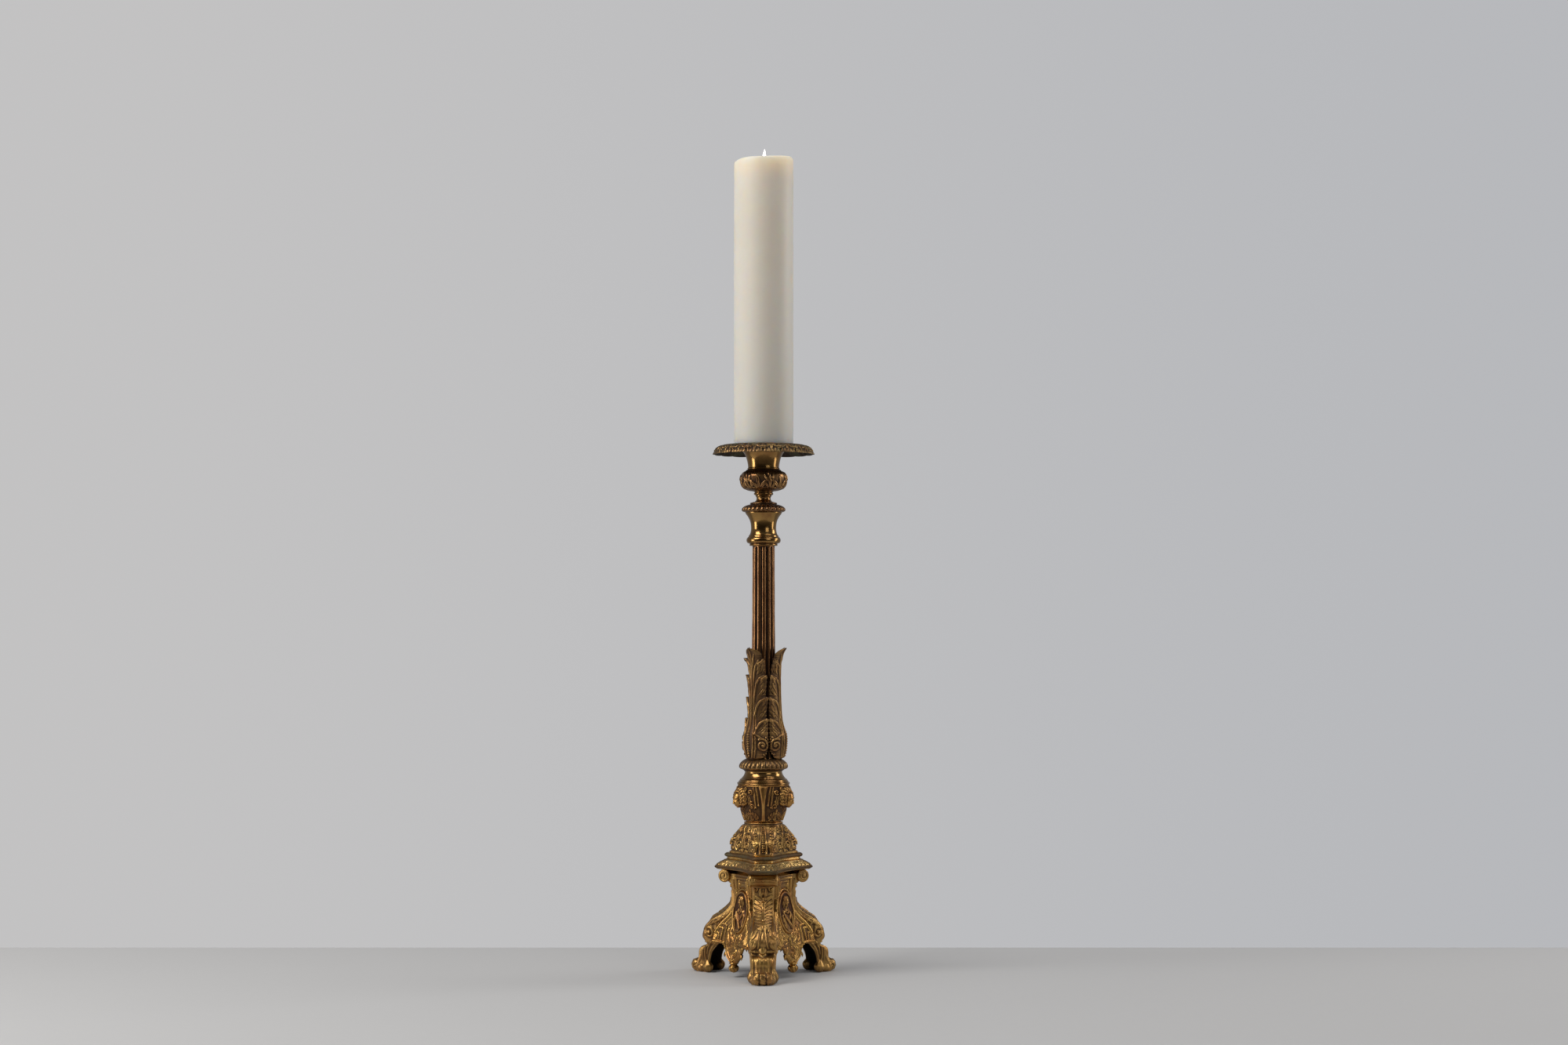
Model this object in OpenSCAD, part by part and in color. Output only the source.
// Torchere candle stand: a baroque three-footed altar candlestick of cast and
// turned brass, strung on one central tie rod, with a pillar candle on its pricket.
// Millimetres, +Z up. The origin is on the stand's axis, on the plane of the three
// feet. One foot points to -Y, which is the front.

/* [Candle] */
// Diameter of the pillar candle
candle_d = 70; // [50:1:80]
// Height of the candle above the drip pan
candle_h = 340; // [120:1:400]
// How much higher the burnt rim is on one side
candle_rim_rise = 5; // [0:0.5:8]

/* [Pricket] */
// Height of the spike above the drip pan
spike_h = 42; // [25:1:60]
// Radius of the spike at its root
spike_r = 5; // [3.5:0.25:6]

/* [Pan] */
// Outer radius of the drip pan
pan_r = 60; // [52:1:70]

/* [Column] */
// Radius of the fluted column at its top
col_r_top = 13.7; // [12.5:0.1:14.5]
// Radius of the fluted column at its foot
col_r_foot = 16.6; // [15.5:0.1:17]
// Number of flutes
flutes = 12; // [8:1:16]
// How far the column and its leaves are turned from the base's sides
leaf_turn = 18; // [-20:1:20]
// Radius of each flute's hollow
flute_r = 2.4; // [1.5:0.1:3]

/* [Feet] */
// Width of each scroll leg
leg_w = 30; // [26:1:32]
// Width of each foot at the floor
foot_w = 37; // [32:1:40]

/* [Tie rod] */
// Radius of the central tie rod
rod_r = 4; // [3:0.5:5]

/* [Hidden] */
$fn = 96;

BRASS = [0.72, 0.52, 0.24];
BRONZE = [0.55, 0.40, 0.20];
SHINY = [0.80, 0.60, 0.30];
STEEL = [0.55, 0.55, 0.55];
WAX = [0.86, 0.83, 0.74];

// directions of the legs and of the panels between them
FRONT = -90; LEFT = 150; RIGHT = 30;
P_LEFT = -150; P_RIGHT = -30; P_BACK = 90;

clear_r = rod_r + 0.4;   // bore that the tie rod passes
wall = 3;                // wall of the cast base
far = 135;               // how far out the axes of the hollow sides lie
ring = 400;              // more than the whole stand's width

// heights of the joints between the stacked pieces
z_body_top = 117.5;
z_dome = 141.5;
z_vase = 178.7;
z_collar = 222.4;
z_calyx = 238;
z_col = 252;
z_capital = 501.5;
z_flange = 541;
z_spool = 553;
z_knop = 567.4;
z_cup = 591.3;
z_pan_under = 612;
z_pan = 620;

// hollow side of the base: [height, distance of the middle of the side from the axis]
side_prof = [[0, 41], [20, 40], [30, 38.5], [36, 37.5], [40, 36.5], [47, 34.5],
             [55, 32], [65, 29.5], [75, 27.5], [85, 26.5], [95, 26.5],
             [108, 27.5], [117.5, 29]];
// corner of the base, where a leg lies on it: [height, distance from the axis]
corner_prof = [[30, 58], [48, 58], [54, 55], [60, 50], [68, 41], [77, 33],
               [87, 29], [117.5, 29]];
// outline of a leg in its own upright plane, below the volute: [distance, height]
leg_out = [[36, 104], [34.4, 99], [34.4, 87], [36.8, 82], [40.5, 77], [47, 71.5],
           [51, 67.5], [61, 62.4], [66, 57.4], [71.5, 52], [74.5, 47.5],
           [74.6, 43], [73, 39.3], [70.3, 36.6], [67.7, 34], [69.5, 30.8],
           [75, 29.2], [78, 26.5], [78.4, 22], [77.4, 19.3]];
leg_in = [[64, 0], [62, 5], [62, 14], [60.5, 22], [57, 29], [52, 33.4], [46, 35.6], [46, 36]];

// ---------- helpers ----------
module at(a) { rotate([0, 0, a]) children(); }
// a solid whose outline in its own upright plane is given, w wide, centred
module upright(pts, w) {
    rotate([90, 0, 0]) translate([0, 0, -w / 2]) linear_extrude(w) polygon(pts);
}
function last(v) = v[len(v) - 1];
// everything beyond a hollow side, turned about an upright axis outside the base
module beyond_side(p, off = 0) {
    a = p[0];
    b = last(p);
    translate([far, 0, 0]) rotate([0, 0, 180]) rotate_extrude()
        polygon(concat([[0, a[0] - 9], [far - a[1] - off, a[0] - 9]],
                       [for (q = p) [far - q[1] - off, q[0]]],
                       [[far - b[1] - off, b[0] + 9], [0, b[0] + 9]]));
}
// everything beyond a corner
module beyond_corner(p, off = 0) {
    a = p[0];
    b = last(p);
    upright(concat([[a[1] + off, a[0] - 10]], [for (q = p) [q[1] + off, q[0]]],
                   [[b[1] + off, b[0] + 10], [ring / 2, b[0] + 10], [ring / 2, a[0] - 10]]), 200);
}
// three-sided solid with hollow sides and cut corners
module three_sided(side, corner, z0, z1, off = 0) {
    difference() {
        translate([0, 0, z0]) cylinder(r = 100, h = z1 - z0);
        for (a = [P_LEFT, P_RIGHT, P_BACK]) at(a) beyond_side(side, off);
        for (a = [FRONT, LEFT, RIGHT]) at(a) beyond_corner(corner, off);
    }
}
module turned(pts) { rotate_extrude() polygon(pts); }
module bore(z0, z1, r = clear_r) { translate([0, 0, z0]) cylinder(r = r, h = z1 - z0); }
// ring of n half-round gadroons standing on a turned shoulder
module gadroons(n, r, z, s) {
    for (i = [0:n - 1]) at(i * 360 / n) translate([r, 0, z]) sphere(r = s, $fn = 24);
}

// ---------- base ----------
module leg() {
    color(BRASS) difference() {
        union() {
            // S-shaped scroll from the cap down to the knee and the foot
            upright(concat([[29, z_body_top], [38, z_body_top]], leg_out, [[84, 17], [84, 0]], leg_in,
                           [[corner_prof[0][1], 36]],
                           [for (q = corner_prof) if (q[0] > 36 && q[0] < z_body_top) [q[1], q[0]]]), leg_w);
            // volute roll under the platform
            translate([43.6, 0, 109.2]) rotate([90, 0, 0]) translate([0, 0, -(leg_w + 2) / 2]) cylinder(r = 8.1, h = leg_w + 2, $fn = 64);
            // toe roll and heel of the foot
            translate([82.5, 0, 9.5]) rotate([90, 0, 0]) translate([0, 0, -foot_w / 2]) cylinder(r = 9, h = foot_w, $fn = 64);
            upright([[62.5, 0], [86, 0], [86, 14], [62.5, 14]], foot_w);
        }
        // flat pad on the floor
        translate([50, -50, -10]) cube([60, 100, 10]);
        // the two screws' holes
        for (z = [57, 98]) translate([20, 0, z]) rotate([0, 90, 0]) cylinder(r = 2.6, h = z > 80 ? 13 : 40.5, $fn = 32);
    }
}
module leg_front() { at(FRONT) leg(); }
module leg_left() { at(LEFT) leg(); }
module leg_right() { at(RIGHT) leg(); }

// two cheese-head screws a leg, put in from inside the base
module leg_screws() {
    color(STEEL) for (a = [FRONT, LEFT, RIGHT]) at(a) {
        translate([25.5, 0, 98]) rotate([0, 90, 0]) cylinder(r = 2.5, h = 7, $fn = 32);
        translate([22.2, 0, 98]) rotate([0, 90, 0]) cylinder(r = 4.4, h = 3.4, $fn = 32);
        translate([44.5, 0, 57]) rotate([0, 90, 0]) cylinder(r = 2.5, h = 15.5, $fn = 32);
        translate([41.2, 0, 57]) rotate([0, 90, 0]) cylinder(r = 4.4, h = 3.4, $fn = 32);
    }
}

module base_body() {
    color(BRASS) difference() {
        three_sided(side_prof, corner_prof, 36, z_body_top);
        // the casting's hollow inside, open below
        difference() {
            three_sided(side_prof, corner_prof, 30, z_body_top - 4, -wall);
            // flat seats for the screws' heads
            for (a = [FRONT, LEFT, RIGHT]) at(a) {
                translate([44.6, -7, 51]) cube([20, 14, 12]);
                translate([25.6, -7, 92]) cube([20, 14, 12]);
            }
        }
        bore(100, 130);
        for (a = [FRONT, LEFT, RIGHT]) at(a) for (z = [57, 98])
            translate([10, 0, z]) rotate([0, 90, 0]) cylinder(r = 2.6, h = 60, $fn = 32);
        for (a = [P_LEFT, P_RIGHT, P_BACK]) at(a) for (z = [61, 88])
            translate([15, 0, z]) rotate([0, 90, 0]) cylinder(r = 1.3, h = 40, $fn = 24);
    }
}

// outline of the hanging apron seen square on: [half width, height]
apron_half = [[21, 36], [20.5, 31], [18, 25.5], [13.5, 20.5], [8.5, 16.5], [5.2, 14.5],
              [4, 13], [5.2, 11.5], [5.2, 9], [3, 6.8]];
module apron() {
    color(BRASS) intersection() {
        difference() {
            translate([0, 0, 6.5]) cylinder(r = 60, h = 29.5);
            beyond_side(side_prof, 1);
            // the back of the plate
            difference() { translate([-100, -100, 0]) cube([145, 200, 60]); beyond_side(side_prof, -wall); }
        }
        translate([10, 0, 0]) rotate([90, 0, 90]) linear_extrude(60)
            polygon(concat([for (q = apron_half) q], [for (i = [len(apron_half) - 1:-1:0]) [-apron_half[i][0], apron_half[i][1]]]));
    }
}
module apron_left() { at(P_LEFT) apron(); }
module apron_right() { at(P_RIGHT) apron(); }
module apron_back() { at(P_BACK) apron(); }

// oval medallion laid on a hollow side
med_w = 31; med_h = 48; med_z = 74.5;
module oval(w, h) { polygon([for (a = [0:10:350]) [w / 2 * cos(a), h / 2 * sin(a)]]); }
module medallion() {
    color(BRONZE) difference() {
        intersection() {
            difference() {
                translate([0, 0, 45]) cylinder(r = 60, h = 60);
                beyond_side(side_prof, 3);
                difference() { translate([-100, -100, 40]) cube([150, 200, 70]); beyond_side(side_prof, 0); }
            }
            translate([10, 0, med_z]) rotate([90, 0, 90]) linear_extrude(60) oval(med_w, med_h);
        }
        for (z = [61, 88]) translate([15, 0, z]) rotate([0, 90, 0]) cylinder(r = 1.3, h = 16.2, $fn = 24);
    }
}
module medallion_left() { at(P_LEFT) medallion(); }
module medallion_right() { at(P_RIGHT) medallion(); }
module medallion_back() { at(P_BACK) medallion(); }
module medallion_pins() {
    color(BRASS) for (a = [P_LEFT, P_RIGHT, P_BACK]) at(a) for (z = [61, 88])
        translate([z > 80 ? 21.2 : 24.8, 0, z]) rotate([0, 90, 0]) cylinder(r = 1.2, h = z > 80 ? 7.2 : 5.9, $fn = 24);
}

module platform() {
    side = [[117.5, 30], [120, 33], [123, 33.5], [126, 33.5], [128.5, 32.5], [131.4, 31], [132.2, 27],
            [134.4, 25.5], [137, 25.5], [138.5, 26.5], [141.5, 26.5]];
    corner = [[117.5, 53.6], [120, 56.3], [123, 56.8], [126, 56.8], [128.5, 55.8], [131.4, 54], [132.2, 47],
              [134.4, 44.5], [137, 44.5], [138.5, 45.5], [141.5, 45.5]];
    color(BRASS) difference() {
        three_sided(side, corner, z_body_top, z_dome);
        bore(110, 150);
        // cores that keep the casting light
        translate([0, 0, 110]) cylinder(r = 21.5, h = 26.5);
        for (a = [FRONT, LEFT, RIGHT]) at(a) translate([33, 0, 110]) cylinder(r = 12.5, h = 19);
    }
}

dome_r = [[42, 141.5], [42.5, 145], [42.5, 153], [40.5, 159], [36.5, 162.5], [34, 166], [31.5, 170], [27, 173.6], [22.5, 177.3], [21.8, 178.7]];
dome_side = [[141.5, 26.2], [155, 26.2], [178.7, 22.6]];
module dome() {
    color(BRASS) difference() {
        at(30) turned(concat([[0, 141.5]], dome_r, [[0, 178.7]]));
        for (a = [P_LEFT, P_RIGHT, P_BACK]) at(a) beyond_side(dome_side);
        bore(140, 180);
        translate([0, 0, 135]) cylinder(r = 21, h = 23);
        translate([0, 0, 158]) cylinder(r1 = 21, r2 = 15, h = 12);
        for (a = [FRONT, LEFT, RIGHT]) at(a) translate([27, 0, 135]) cylinder(r = 9, h = 21);
    }
}

vase_r = [[20.5, 178.7], [23, 181], [24.3, 186.5], [26, 192], [27.4, 197.5], [28.6, 203], [29.6, 208.6], [30.2, 214], [30.6, 219], [30.6, 222.4]];
module vase() {
    color(BRASS) difference() {
        union() {
            turned(concat([[0, 178.7]], vase_r, [[0, 222.4]]));
            // bosses that carry the masks, between the legs
            for (a = [P_LEFT, P_RIGHT, P_BACK]) at(a) {
                translate([27.6, 0, 212]) sphere(r = 8.8, $fn = 40);
                translate([25.6, 0, 203]) sphere(r = 7, $fn = 40);
            }
        }
        bore(170, 230);
        turned([[0, 184], [17, 184], [23, 206], [24, 218], [0, 218]]);
        translate([0, 0, 222.4]) cylinder(r = 60, h = 20);
    }
}

module vase_collar() {
    color(SHINY) difference() {
        turned([[0, 222.4], [30.8, 222.4], [31.4, 223.6], [30.8, 225], [29, 225.6], [29.4, 227], [28.6, 228.4],
                [26.2, 230.4], [24.4, 232.5], [23.5, 235], [23.4, 236.6], [24.2, 238], [0, 238]]);
        bore(220, 240);
        translate([0, 0, 220]) cylinder(r = 17, h = 14);
    }
}

module calyx_ring() {
    n = 24;
    color(BRONZE) difference() {
        union() {
            turned([[0, 238], [24, 238], [27.6, 239.4], [28.2, 241.8], [27.4, 244.6], [25.6, 247.3], [23.4, 250], [20.5, 252], [0, 252]]);
            gadroons(n, 26.4, 243, 2.7);
        }
        bore(230, 260);
        turned([[0, 238], [18, 238], [14, 247], [0, 247]]);
        translate([0, 0, 230]) cylinder(r = 40, h = 8);
    }
}

// ---------- leaves ----------
// outer face of a leaf as a turned profile: [radius, height]
leaf_face = [[22.5, 252.2], [24.4, 255.6], [26.6, 261], [27.3, 269.4], [27.2, 275], [26, 280.5], [24.6, 286],
             [22.9, 294], [21.4, 302.6], [20.4, 315.5], [19.9, 334], [19.9, 352], [20.6, 366], [22, 374], [24.2, 379.6], [26.4, 383.6]];
// half of a leaf's outline seen square on: [half width, height]
leaf_half = [[10, 252.2], [16, 254.5], [20.6, 260], [22.4, 268], [21.6, 277], [19.6, 286], [18.4, 293], [16.8, 300],
             [18.0, 305], [16.4, 312], [16.2, 318], [15.2, 325], [16.3, 331], [15, 338], [14.6, 344], [13.6, 351],
             [14.4, 356], [12.4, 363], [11.6, 368], [9.6, 373], [8, 378], [4.6, 382], [2, 383.6]];
module leaf_plate() {
    t = 2.6;
    difference() {
        intersection() {
            turned(concat(leaf_face, [for (i = [len(leaf_face) - 1:-1:0]) [max(leaf_face[i][0] - t, 17.2), leaf_face[i][1]]]));
            rotate([90, 0, 90]) linear_extrude(40)
                polygon(concat(leaf_half, [for (i = [len(leaf_half) - 1:-1:0]) [-leaf_half[i][0], leaf_half[i][1]]]));
            // keeps it off its two neighbours
            translate([0, 0, 240]) linear_extrude(160) polygon([[0.6, 0], [30, 46.5], [60, 46.5], [60, -46.5], [30, -46.5]]);
        }
        translate([10, 0, 262]) rotate([0, 90, 0]) cylinder(r = 1.6, h = 30, $fn = 24);
    }
}
module leaf_left() { color(BRONZE) at(P_LEFT + leaf_turn) leaf_plate(); }
module leaf_right() { color(BRONZE) at(P_RIGHT + leaf_turn) leaf_plate(); }
module leaf_back() { color(BRONZE) at(P_BACK + leaf_turn) leaf_plate(); }
module leaf_screws() {
    color(STEEL) for (a = [P_LEFT, P_RIGHT, P_BACK]) at(a + leaf_turn) {
        translate([12, 0, 262]) rotate([0, 90, 0]) cylinder(r = 1.5, h = 14.6, $fn = 24);
        // spacer sleeve between the column and the leaf
        difference() {
            translate([16.6, 0, 262]) rotate([0, 90, 0]) cylinder(r = 3, h = 6.1, $fn = 24);
            translate([10, 0, 262]) rotate([0, 90, 0]) cylinder(r = 1.5, h = 20, $fn = 24);
        }
    }
}

// ---------- column and head ----------
module column() {
    h = z_capital - z_col;
    tilt = atan((col_r_foot - col_r_top) / h);
    color(BRONZE) difference() {
        translate([0, 0, z_col]) cylinder(r1 = col_r_foot, r2 = col_r_top, h = h);
        for (i = [0:flutes - 1]) at(i * 360 / flutes + leaf_turn)
            translate([col_r_foot + flute_r * 0.35, 0, z_col - 2]) rotate([0, -tilt, 0]) cylinder(r = flute_r, h = h + 4, $fn = 32);
        translate([0, 0, z_col - 1]) cylinder(r1 = 12, r2 = 9.5, h = h + 2);
        for (a = [P_LEFT, P_RIGHT, P_BACK]) at(a + leaf_turn) translate([5, 0, 262]) rotate([0, 90, 0]) cylinder(r = 1.6, h = 30, $fn = 24);
    }
}

module capital() {
    color(SHINY) difference() {
        turned([[0, 501.5], [15.9, 501.5], [16.4, 502.6], [15.9, 503.8], [17.2, 504.6], [19.2, 505.8], [20, 508], [19.6, 510.4],
                [17.8, 512.2], [17.4, 513.4], [16.2, 515], [15.2, 517.6], [14.7, 521], [14.7, 525], [15.2, 529], [16.2, 532.4],
                [17.6, 535], [19.6, 537.2], [21.4, 539.2], [22.2, 541], [0, 541]]);
        bore(500, 545);
        turned([[0, 507], [10, 507], [10, 530], [0, 535]]);
    }
}

module flange() {
    n = 22;
    color(BRONZE) difference() {
        union() {
            turned([[0, 541], [22.4, 541], [25, 542.4], [26.3, 544.4], [26, 546.6], [24.4, 549], [21.6, 551], [18.8, 552], [16.6, 553], [0, 553]]);
            gadroons(n, 23.2, 547.2, 2.5);
        }
        bore(540, 555);
        translate([0, 0, 530]) cylinder(r = 40, h = 11);
    }
}

module spool() {
    color(SHINY) difference() {
        turned([[0, 553], [15.4, 553], [14.4, 554.6], [12.4, 556], [10.9, 557.8], [10.4, 559.4], [10.8, 561], [12, 562.4], [13.6, 563.6],
                [14.8, 564.4], [15.8, 565.4], [15.6, 566.8], [14.8, 567.4], [0, 567.4]]);
        bore(550, 570);
    }
}

module knop() {
    color(BRONZE) difference() {
        turned([[0, 567.4], [19, 567.4], [23.4, 569], [26.2, 571.5], [28.1, 575], [28.8, 579.4], [28.3, 583.8], [26.4, 587.4], [22.6, 590.2], [19, 591.3], [0, 591.3]]);
        bore(560, 595);
        turned([[0, 572], [14, 572], [21, 576], [22, 580], [20, 585], [14, 588], [0, 588]]);
    }
}

module cup() {
    color(SHINY) difference() {
        turned([[0, 591.3], [18.3, 591.3], [18.5, 596], [19.2, 601], [20.3, 604.7], [21.8, 608.4], [24.2, 611.8], [27, 614.4], [29, 616], [0, 616]]);
        bore(590, 620);
        translate([0, 0, 594.5]) cylinder(r = 14.5, h = 30);
        translate([0, 0, z_pan_under]) cylinder(r = 18.4, h = 30);
    }
}

module drip_pan() {
    color(BRONZE) difference() {
        turned([[0, 612], [18, 612], [18, 616], [pan_r - 12, 616], [pan_r - 7, 615], [pan_r - 4, 612.8], [pan_r - 1.8, 609.8], [pan_r - 0.8, 609.4],
                [pan_r, 610.6], [pan_r - 0.4, 613.6], [pan_r - 2.4, 616.6], [pan_r - 5.6, 619], [pan_r - 10, 620], [0, 620]]);
        bore(600, 630);
        translate([0, 0, 617]) cylinder(r = 12.2, h = 10);
    }
}

module pricket() {
    color(STEEL) difference() {
        union() {
            translate([0, 0, 617]) cylinder(r = 12, h = 2.8);
            translate([0, 0, 619.8]) cylinder(r1 = spike_r, r2 = 0.6, h = spike_h);
        }
        // threaded socket for the tie rod
        translate([0, 0, 610]) cylinder(r = rod_r, h = 8.5);
    }
}

module tie_rod() {
    color(STEEL) union() {
        translate([0, 0, 101]) cylinder(r1 = rod_r - 1, r2 = rod_r, h = 1);
        translate([0, 0, 102]) cylinder(r = rod_r, h = 516.5);
    }
}
module clamp_washer() {
    color(STEEL) difference() {
        translate([0, 0, 110.5]) cylinder(r = 14, h = 3);
        bore(100, 120, rod_r + 0.3);
    }
}
module clamp_nut() {
    color(STEEL) difference() {
        translate([0, 0, 104]) cylinder(r = 7.5, h = 6.5, $fn = 6);
        bore(100, 120, rod_r);
    }
}

// ---------- candle ----------
module candle() {
    r = candle_d / 2;
    z1 = z_pan + candle_h;
    tilt = atan(candle_rim_rise / candle_d);
    color(WAX) difference() {
        translate([0, 0, z_pan]) cylinder(r = r, h = candle_h);
        // the burnt top slopes up to one side
        translate([-r, 0, z1 - candle_rim_rise]) rotate([0, -tilt, 0]) translate([-20, -60, 0]) cube([140, 120, 40]);
        // shallow melt pool round the wick
        translate([0, 0, z1 - 9]) cylinder(r1 = r - 14, r2 = r - 5, h = 20);
        // tapered hole that the spike has made
        translate([0, 0, z_pan - 0.2]) cylinder(r1 = spike_r + 0.5, r2 = 1, h = spike_h + 2);
        translate([0, 0, z1 - 24]) cylinder(r = 1.3, h = 30, $fn = 24);
    }
}
module wick() {
    color([0.12, 0.1, 0.09]) translate([0, 0, z_pan + candle_h - 23.5]) cylinder(r = 1.2, h = 22.5, $fn = 24);
}

leg_front();
leg_left();
leg_right();
leg_screws();
base_body();
apron_left();
apron_right();
apron_back();
medallion_left();
medallion_right();
medallion_back();
medallion_pins();
platform();
dome();
vase();
vase_collar();
calyx_ring();
leaf_left();
leaf_right();
leaf_back();
leaf_screws();
column();
capital();
flange();
spool();
knop();
cup();
drip_pan();
pricket();
tie_rod();
clamp_washer();
clamp_nut();
candle();
wick();
